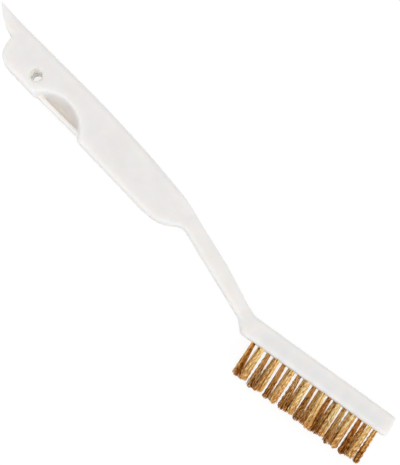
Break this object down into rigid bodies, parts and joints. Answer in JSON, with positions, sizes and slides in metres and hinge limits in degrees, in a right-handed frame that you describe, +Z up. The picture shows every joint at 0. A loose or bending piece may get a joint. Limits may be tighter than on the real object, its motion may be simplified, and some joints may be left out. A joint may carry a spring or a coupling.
{
  "type": "scrub brush",
  "caption": "Small one-piece plastic scrub brush with a scraper beak, a finger scoop, a thin angled neck and three rows of staple-set brass wire tufts.",
  "frame": {"origin": "on the surface that the brush lies on, under the middle of its bounding box", "axes": "+X along the handle from the scraper beak towards the head, +Y from the bristle side towards the back of the handle, +Z up out of the brush's near side, away from the surface it lies on"},
  "size_m": [0.1976, 0.0348, 0.013],
  "materials": {
    "white_plastic": "moulded, slightly glossy, off-white",
    "brass_wire": "drawn, crimped wire",
    "anchor_steel": "flat drawn wire, hidden in the head"
  },
  "bodies": {
    "root": {"handle": "white_plastic", "tuft_near_1": "brass_wire", "tuft_near_2": "brass_wire", "tuft_near_3": "brass_wire", "tuft_near_4": "brass_wire", "tuft_near_5": "brass_wire", "tuft_near_6": "brass_wire", "tuft_near_7": "brass_wire", "tuft_near_8": "brass_wire", "tuft_middle_1": "brass_wire", "tuft_middle_2": "brass_wire", "tuft_middle_3": "brass_wire", "tuft_middle_4": "brass_wire", "tuft_middle_5": "brass_wire", "tuft_middle_6": "brass_wire", "tuft_middle_7": "brass_wire", "tuft_middle_8": "brass_wire", "tuft_middle_9": "brass_wire", "tuft_far_1": "brass_wire", "tuft_far_2": "brass_wire", "tuft_far_3": "brass_wire", "tuft_far_4": "brass_wire", "tuft_far_5": "brass_wire", "tuft_far_6": "brass_wire", "tuft_far_7": "brass_wire", "tuft_far_8": "brass_wire", "anchor_near_1": "anchor_steel", "anchor_near_2": "anchor_steel", "anchor_near_3": "anchor_steel", "anchor_near_4": "anchor_steel", "anchor_near_5": "anchor_steel", "anchor_near_6": "anchor_steel", "anchor_near_7": "anchor_steel", "anchor_near_8": "anchor_steel", "anchor_middle_1": "anchor_steel", "anchor_middle_2": "anchor_steel", "anchor_middle_3": "anchor_steel", "anchor_middle_4": "anchor_steel", "anchor_middle_5": "anchor_steel", "anchor_middle_6": "anchor_steel", "anchor_middle_7": "anchor_steel", "anchor_middle_8": "anchor_steel", "anchor_middle_9": "anchor_steel", "anchor_far_1": "anchor_steel", "anchor_far_2": "anchor_steel", "anchor_far_3": "anchor_steel", "anchor_far_4": "anchor_steel", "anchor_far_5": "anchor_steel", "anchor_far_6": "anchor_steel", "anchor_far_7": "anchor_steel", "anchor_far_8": "anchor_steel"}
  },
  "joints": []
}
